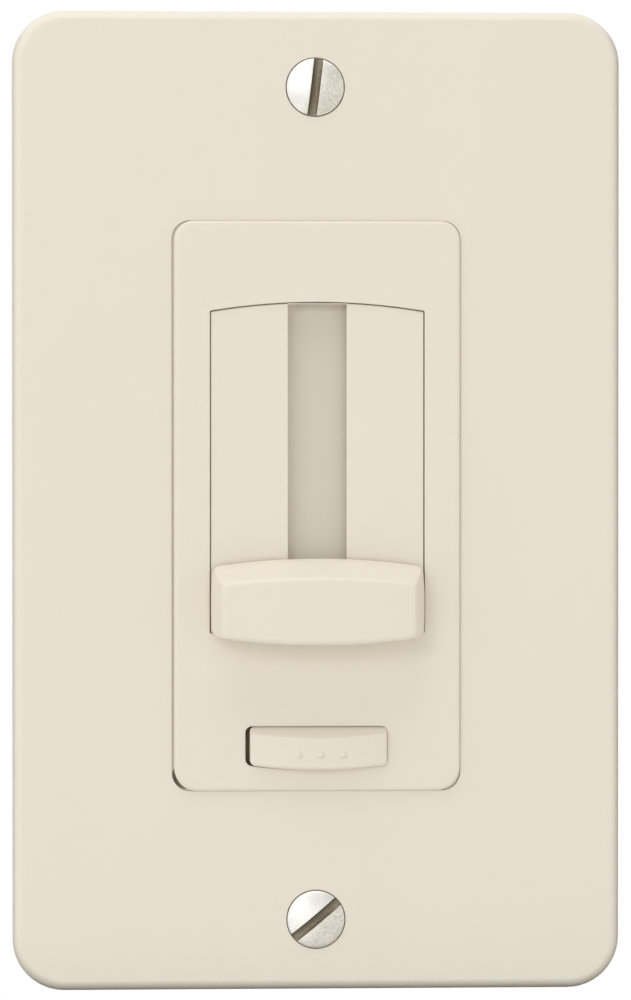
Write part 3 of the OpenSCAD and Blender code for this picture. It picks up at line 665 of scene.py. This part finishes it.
panel_front = panel_low.y
GROOVE, GROOVE_STEPS, PANEL_GAP = 3.4, 16, 0.12
FOOT, FOOT_X = 2.6, 11.8
flange_y = (bezel_front + WINDOW_WALL + 0.05, bezel_front + WINDOW_WALL + 0.55)
floor_front = flange_y[1] + 0.75
panel_shape = Arched(WINDOW_W - 2 * PANEL_GAP, window.z0 + PANEL_GAP, window.z1 - PANEL_GAP,
                     SAG_BOTTOM, SAG_TOP, 0.12)
panel = Solid()
for side in (-1, 1):
    width = panel_shape.half - panel_shape.r - GROOVE
    xs = [GROOVE + width * i / GROOVE_STEPS for i in range(GROOVE_STEPS + 1)]
    xs += [x for x in columns(panel_shape.half, panel_shape.r, 6, 1) if x > xs[-1] + 1e-6]
    half = [(x, panel_shape.low(x)) for x in xs] + [(x, panel_shape.high(x)) for x in reversed(xs)]
    if side < 0:
        half = [(-x, z) for x, z in reversed(half)]
    panel.shell(half, [(0.02, flange_y[0] + 0.2), *round_in(0, panel_front + 0.1, 0.1, panel_front, 4)])
    x = sorted((side * (GROOVE + 0.03), side * panel_high.x))
    panel.block(x, flange_y, (panel_low.z, panel_high.z), 0.05)
    # feet that stand on the yoke
    for z in ((26, 26 + FOOT), (panel_low.z, panel_low.z + FOOT)):
        panel.block(sorted((side * FOOT_X, side * (FOOT_X + FOOT))), (flange_y[1] - 0.1, yoke_front), z)
# blocks that close the groove above and below the window
for z in ((window.z1 - 0.15, panel_high.z), (panel_low.z, window.z0 - 0.05)):
    panel.block((-GROOVE - 0.1, GROOVE + 0.1), (flange_y[0], floor_front - 0.02), z, 0.02)
slide_panel = make("slide_panel", panel, ivory_parts)
weigh_normals(slide_panel)
attach(slide_panel, "device", "ivory_moulding", "track_panel")

# cove in the top end of the groove
COVE_H, COVE_STEPS = 0.35, 10
cove_front, cove_back, cove_z = panel_front + 0.2, floor_front - 0.015, window.z1 - 0.13
profile = [(cove_back, cove_z), (cove_front, cove_z), (cove_front, cove_z - 0.1)]
for k in range(COVE_STEPS + 1):
    t = k / COVE_STEPS
    profile.append((cove_back - (cove_back - cove_front - 0.04) * (1 - t) ** 2, cove_z - 0.12 - COVE_H * t))
cove = Solid()
cove.bar(profile, -GROOVE - 0.02, GROOVE + 0.02)
# the cove takes the groove floor's darker colour, painted shade
attach(make("groove_end", cove, ivory_floor_painted_shade), "device", "ivory_moulding", "track_panel")

# ---- Slider knob ----


def softest(values, blend):
    """The lowest of some heights, with the creases between them rounded."""
    least = min(values)
    return least - blend * math.log(sum(math.exp((least - v) / blend) for v in values))


knob_low, knob_high = box_mm("slide_knob")
knob_mid = (knob_low.z + knob_high.z) / 2
knob_w, knob_h = knob_high.x - knob_low.x, knob_high.z - knob_low.z
KNOB_TOP, KNOB_EDGE, KNOB_BASE = -knob_low.y, -bezel_front + 0.8, -bezel_front + 0.2
KNOB_RIM, KNOB_SAG = 0.5, 0.95
# how far in from the knob's top and sides its sloping faces reach the crown
KNOB_TOP_REACH, KNOB_SIDE_REACH = 2.2, 1.25
knob_shape = Arched(knob_w, knob_mid - knob_h / 2, knob_mid + knob_h / 2, KNOB_SAG, KNOB_SAG, 0.8)


def knob_height(x, z):
    """The knob's height above the plane y = 0: a crown with three sloping faces and a rounded bottom edge."""
    sag = KNOB_SAG * (x / knob_shape.half) ** 2
    side = knob_shape.half - abs(x)
    top = knob_shape.z1 - sag - z
    bottom = z - knob_shape.z0 - sag
    edge = KNOB_EDGE + KNOB_RIM
    rise = KNOB_TOP - edge
    crown = KNOB_TOP - 0.01 - 0.2 * (x / knob_shape.half) ** 2
    slopes = edge + rise * top / KNOB_TOP_REACH, edge + rise * side / KNOB_SIDE_REACH
    height = softest((crown, *slopes), 0.22)
    rim = max(corner_cut(side, 0.5 * KNOB_RIM), corner_cut(top, KNOB_RIM))
    return max(KNOB_EDGE, height - corner_cut(bottom, 0.6) - rim)


knob = Solid()
border = knob.relief(knob_shape, knob_height, draw_in=(0.08, 0.3))
skirt = knob.dropped(border, -KNOB_BASE, (1, 0.97), knob_high.z)
inner = knob.dropped(skirt, -KNOB_BASE, (0.9, 0.78), knob_mid)
ceiling = knob.dropped(inner, -KNOB_TOP + 1.7, (0.84, 0.6), knob_mid - 1.8)
knob.fill(ceiling)
# block inside that sits on the carrier
knob.block((-3.7, 3.7), (-KNOB_TOP + 1.5, -KNOB_BASE), (knob_mid - 3, knob_mid + 1.8))
knob_cap = make("knob_cap", knob, ivory_parts, 50)
attach(knob_cap, "slider", "ivory_moulding", "slide_knob")

# ---- Push button ----

button_x = (button_low.x + button_high.x) / 2
BUTTON_CROWN, BUTTON_TOP_EDGE, BUTTON_SKIRT = 1.54 - bezel_front, -0.45 - bezel_front, 3.6
BUTTON_SLOPE = 1.53
button_shape = Arched(15.9, button_mid - 2.5, button_mid + 2.5, BUTTON_SAG, 0.0, 0.65)
# the three dots: their places across, the middle one's shift from the button's, their height and radius
DOTS, DOT_SHIFT, DOT_HEIGHT, DOT_R = (-2.6, 0, 2.6), (0.2, -0.75), 0.28, 0.42


def button_height(x, z):
    """The button's height above the plane y = 0: a crown that falls off towards the top, with three dots."""
    across = x / button_shape.half
    side = button_shape.half - abs(x)
    top = button_shape.z1 - z
    bottom = z - button_shape.z0 - BUTTON_SAG * across ** 2
    crown = BUTTON_CROWN - 0.8 * across ** 2
    slope = BUTTON_TOP_EDGE + BUTTON_SLOPE * top
    height = softest((crown, slope), 0.06) - corner_cut(bottom, 0.45) - corner_cut(side, 0.35)
    for place in DOTS:
        away = math.hypot(x - place - DOT_SHIFT[0], z - button_mid - DOT_SHIFT[1])
        height += DOT_HEIGHT * max(0.0, 1 - (away / DOT_R) ** 2) ** 0.5
    return height


button = Solid()
border = button.relief(button_shape, button_height, middle=150, corner=12, rows=72)
skirt = button.dropped(border, -BUTTON_SKIRT)
inner = button.dropped(skirt, -BUTTON_SKIRT, (0.85, 0.6), button_mid)
ceiling = button.dropped(inner, -BUTTON_CROWN + 2.3, (0.98, 0.9), button_mid - 0.4)
button.fill(ceiling)
button.move(Matrix.Translation((button_x * MM, 0, 0)))
button_cap = make("button_cap", button, ivory_parts, 60)
attach(button_cap, "button", "ivory_moulding", "push_button")

# flange behind the bezel, which stops the button and hides the inside; its dark brown is painted shade for
# the dark gap at the button's left
seal = Solid()
seal_front = bezel_inside + 0.3
seal_back = seal_front + 0.8
outer_front, outer_back = seal.stack(rounded(17.6, 6.6, 1, cz=button_mid), [
    (0.06, seal_front), (0, seal_front + 0.06), (0, seal_back - 0.06), (0.06, seal_back)])
inner_front, inner_back = seal.stack(rounded(15.3, 4.2, 0.5, cz=button_mid), [
    (0, seal_front), (0, seal_back)])
seal.fill(outer_front, inner_front)
seal.fill(outer_back, inner_back)
seal.move(Matrix.Translation((button_x * MM, 0, 0)))
attach(make("button_flange", seal, painted_shade_brown), "button", "ivory_moulding", "push_button")

# ---- Screws ----


def slot_cutter(name, length, width, y0, y1, turn, material=slot_shade):
    """A bar from y0 to y1 that cuts a straight slot, turned by some degrees about Y."""
    cutter = Solid()
    half, side = length / 2, width / 2
    rounding = [(side * 0.12, -0.22), (side * 0.4, -0.07), (side * 0.8, 0)]
    cutter.shell([(half, side), (-half, side), (-half, -side), (half, -side)],
                 [(0, y0), (0, y1 - 0.4), *((step, y1 + y) for step, y in rounding)])
    cutter.move(Matrix.Rotation(math.radians(-turn), 4, "Y"))
    return make(name, cutter, material)


def cross_cutter(name, length, width, y0, y1):
    """A cross from y0 to y1 that cuts a cross recess."""
    cutter = Solid()
    arm, half = length / 2, width / 2
    quarter = [(arm, -half), (arm, half), (half, half)]
    quarter_turns = ((1, 0), (0, 1), (-1, 0), (0, -1))
    outline = [(x * c - z * s, x * s + z * c) for c, s in quarter_turns for x, z in quarter]
    cutter.shell(outline, [(0, y0), (0, y1 - 0.5), (0.18, y1)])
    return make(name, cutter, slot_shade)


def screw(name, material, head, shank, cutters, place, body, slot, replaced, turn=None, edge=0.07):
    """A screw along +Y with its head towards -Y, moved to a place and turned by an optional matrix.

    head holds the (radius, y) steps of the head, shank what Solid.thread takes.
    """
    solid = Solid()
    solid.lathe(head)
    made = make(name, solid, material, 30)
    for index, cutter in enumerate(cutters):
        cut_away(made, cutter(f"{name}_cut{index}"))
    rod = Solid()
    rod.thread(*shank)
    rod_mesh = make(name + "_rod", rod, material, 60)
    matrix = Matrix.Translation([c * MM for c in place]) @ (turn or Matrix.Identity(4))
    for item in (made, rod_mesh):
        item.data.transform(matrix)
        attach(item, body, slot, replaced)
    soften(made, edge, 2, 40)
    return made


def dome(r, rise, y, steps=14):
    """A domed head's (radius, y) steps, from the middle out to the rim in the plane y."""
    angles = [math.pi / 2 * k / steps for k in range(steps + 1)]
    return [(max(0.02, r * math.sin(a)), y - rise * (0.68 * math.cos(a) ** 2 + 0.32 * math.cos(a) ** 0.5))
            for a in angles]


for name, (x, z, turn) in PLATE_SCREWS.items():
    screw("plate_screw_" + name, nickel[name],
          [*dome(3.32, 0.9, 0), (3.32, 0.35), (1.6, 2.02), (1.6, 2.4)],
          (1.6, 2.3, 9.1),
          [lambda label, turn=turn, name=name: slot_cutter(label, 8, 1.1, -2, 0.25, turn, nickel_slot[name])],
          (x, plate_front, z), "device", "nickel", "wallplate_screws", edge=0.14)

box_low, box_high = box_mm("box_screws")
BOX_HEAD_R = 3.4
for name, z in (("top", box_high.z - BOX_HEAD_R), ("bottom", box_low.z + BOX_HEAD_R)):
    screw("box_screw_" + name, zinc_screw,
          [(0.02, -1.8), (2.2, -1.75), (3.0, -1.45), (3.38, -0.9), (BOX_HEAD_R, -0.1), (3.3, 0),
           (1.45, 0.02), (1.45, 2.1)],
          (1.75, 2, 23.7),
          [lambda label: slot_cutter(label, 8, 1, -3, -0.9, 0)],
          (0, yoke_front, z), "device", "zinc_steel", "box_screws")

ground_low, ground_high = box_mm("ground_screw")
GROUND_HEAD = 1.9
screw("ground_post", green_screw,
      [(0.02, -GROUND_HEAD), (2.6, -1.85), (3.3, -1.5), (3.58, -0.9), (3.6, -0.1), (3.5, 0),
       (1.9, 0.02), (1.9, 0.3)],
      (1.95, 0.25, ground_high.z - ground_low.z - GROUND_HEAD, 0.794, 0.3),
      [lambda label: slot_cutter(label, 10, 1, -3, -0.95, 0)],
      ((ground_low.x + ground_high.x) / 2, (ground_low.y + ground_high.y) / 2, ground_low.z + GROUND_HEAD),
      "device", "green_screw", "ground_screw", Matrix.Rotation(math.pi / 2, 4, "X"))

case_low, case_high = box_mm("housing_screws")
CASE_HEAD_R = 2
for sx in (-1, 1):
    for sz in (-1, 1):
        place = (sx * (case_high.x - CASE_HEAD_R), case_high.y, sz * (case_high.z - CASE_HEAD_R))
        screw(f"case_screw_{'lr'[sx > 0]}{'bt'[sz > 0]}", zinc_screw,
              [(0.02, 0), (1.5, 0.05), (1.9, 0.3), (CASE_HEAD_R, 0.6), (CASE_HEAD_R, 1.5),
               (1.2, 1.5), (1.2, 1.7)],
              (1.3, 1.6, case_high.y - case_low.y, 0.9, 0.25),
              [lambda label: cross_cutter(label, 2.6, 0.5, -1, 0.9)],
              place, "device", "zinc_steel", "housing_screws", Matrix.Rotation(math.pi, 4, "X"), 0.04)

terminal_low, terminal_high = box_mm("terminal_screws")
TERMINALS = ((-1, -16), (1, -16), (1, 8))
for index, (side, z) in enumerate(TERMINALS):
    screw(f"terminal_screw_{index}", brass,
          [(0.02, 0), (3.2, 0.05), (3.75, 0.35), (3.9, 0.8), (3.9, 2.2), (1.9, 2.2), (1.9, 2.6)],
          (1.95, 2.4, 8.9),
          [lambda label: slot_cutter(label, 12, 1, -1, 1, 0),
           lambda label: slot_cutter(label, 4.2, 1, -1, 1, 90)],
          (side * terminal_high.x, (terminal_low.y + terminal_high.y) / 2, z),
          "device", "brass", "terminal_screws", Matrix.Rotation(math.radians(90 * side), 4, "Z"), 0.06)

# ---- CAD nodes that stay, with finer edges and their own finish ----

# each node's material and the width of its softened edges, 0 for none
KEPT = {
    # track_floor takes the groove floor's darker colour, painted shade
    "track_floor": (ivory_floor_painted_shade, 0.1), "slide_carrier": (ivory_parts, 0.12), "yoke": (zinc, 0.12),
    "screw_retainers": (red_fibre, 0.05), "insulating_sheet": (fish_paper, 0.05),
    "rear_housing": (black_plastic, 0.25), "circuit_board": (board_brown, 0.05),
    "pot_frame": (tinned, 0.1), "pot_resistor_board": (phenolic, 0.05), "pot_tracks": (carbon, 0.0),
    "pot_wiper": (white_nylon, 0.12), "pot_wiper_contacts": (brass, 0.03),
    "switch_case": (switch_black, 0.15), "switch_cover": (switch_cream, 0.1),
    "switch_plunger": (white_nylon, 0.1), "switch_spring": (spring_steel, 0.0),
    "switch_bridge_contact": (brass, 0.05), "switch_terminals": (brass, 0.05), "triac_body": (epoxy, 0.2),
    "triac_tab": (tinned, 0.08), "triac_leads": (tinned, 0.04), "triac_insulator": (mica, 0.0),
    "triac_screw": (zinc_screw, 0.08), "choke_core": (ferrite, 0.0), "choke_winding": (copper, 0.0),
    "film_capacitors": (capacitor_red, 0.9), "resistors": (resistor_tan, 0.15), "diac": (diac_blue, 0.15),
    "component_leads": (tinned, 0.0), "solder_joints": (solder, 0.0), "terminal_straps": (brass, 0.1),
    "terminal_clamps": (brass, 0.12),
}
WELD_GAP, FLAT_ANGLE = 0.002, 0.5
for name, (material, edge) in KEPT.items():
    item = nodes[name]
    item.data.materials.clear()
    item.data.materials.append(material)
    if edge:
        weld = item.modifiers.new("weld", "WELD")
        weld.merge_threshold = WELD_GAP * MM
        flat = item.modifiers.new("flat", "DECIMATE")
        flat.decimate_type = "DISSOLVE"
        flat.angle_limit = math.radians(FLAT_ANGLE)
        soften(item, edge, 2, 40)
        weigh_normals(item)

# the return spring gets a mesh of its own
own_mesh(nodes["switch_spring"])

# ---- Studio ----

floor = Solid()
FLOOR_Z, FLOOR_R = -360, 1850
ring = [floor.point(x, z, FLOOR_Z) for x, z in circle(0, 0, FLOOR_R, 96)]
floor.mesh.faces.new(ring)
floor_piece = make("floor", floor, plastic("floor_pale", (0.86, 0.85, 0.83), rough=0.7, variation=0.01))

world = bpy.data.worlds.new("studio")
bpy.context.scene.world = world
world.use_nodes = True
world.node_tree.nodes["Background"].inputs["Color"].default_value = (1, 1, 1, 1)
world.node_tree.nodes["Background"].inputs["Strength"].default_value = 1.01


def area_light(name, place, size, watts):
    """A round soft light aimed at the middle of the object."""
    light = bpy.data.lights.new(name, "AREA")
    light.shape = "DISK"
    light.size = size
    light.energy = watts
    item = bpy.data.objects.new(name, light)
    item.location = place
    item.rotation_euler = (-Vector(place)).to_track_quat("-Z", "Y").to_euler()
    bpy.context.scene.collection.objects.link(item)


def card(name, corners):
    """A dark board out of the camera's sight, which keeps light off one side."""
    solid = Solid()
    solid.mesh.faces.new([solid.point(*corner) for corner in corners])
    made = make(name, solid, card_black)
    made.visible_camera = False


area_light("key", (0.0, -2.3, -1.1), 1.1, 3.5)
area_light("glint", (-0.75, -1.5, 0.6), 0.45, 3.3)
area_light("top", (-0.1, -0.25, 0.9), 0.6, 1.8)
card_black = plastic("card_black", (0.02, 0.02, 0.02), rough=0.9)
# close to the plate's edges, in mm
UNDER_Z, SIDE_X, SIDE_Z = -61.5, 41, 60
card("card_under", [(-45, -9.5, UNDER_Z), (45, -9.5, UNDER_Z), (45, 14, UNDER_Z), (-45, 14, UNDER_Z)])
card("card_above", [(-100, -850, 480), (900, -850, 480), (900, -420, 540), (-100, -420, 540)])
for name, x, front, rear in (("card_left", -SIDE_X, -1.5, 10), ("card_right", SIDE_X, -4, 12)):
    card(name, [(x, front, -SIDE_Z), (x, rear, -SIDE_Z), (x, rear, SIDE_Z), (x, front, SIDE_Z)])

# ---- Camera ----

AZIMUTH, ELEVATION, DISTANCE = -3.2, 0.8, 0.6
VIEW_HEIGHT = 0.11613
azimuth, elevation = math.radians(AZIMUTH), math.radians(ELEVATION)
aim = Vector((-0.13 * MM, -4.5 * MM, (plate_mid + 0.1) * MM))
behind = Vector((math.sin(azimuth) * math.cos(elevation), -math.cos(azimuth) * math.cos(elevation),
                 math.sin(elevation)))
camera_data = bpy.data.cameras.new("camera")
camera_data.sensor_width = 36
camera_data.lens = camera_data.sensor_width * DISTANCE / VIEW_HEIGHT
camera = bpy.data.objects.new("camera", camera_data)
camera.location = aim + behind * DISTANCE
camera.rotation_mode = "QUATERNION"
camera.rotation_quaternion = (-behind).to_track_quat("-Z", "Y")
camera_data.clip_start, camera_data.clip_end = 0.05, 20
bpy.context.scene.collection.objects.link(camera)
bpy.context.scene.camera = camera
bpy.context.scene.view_settings.view_transform = "Standard"
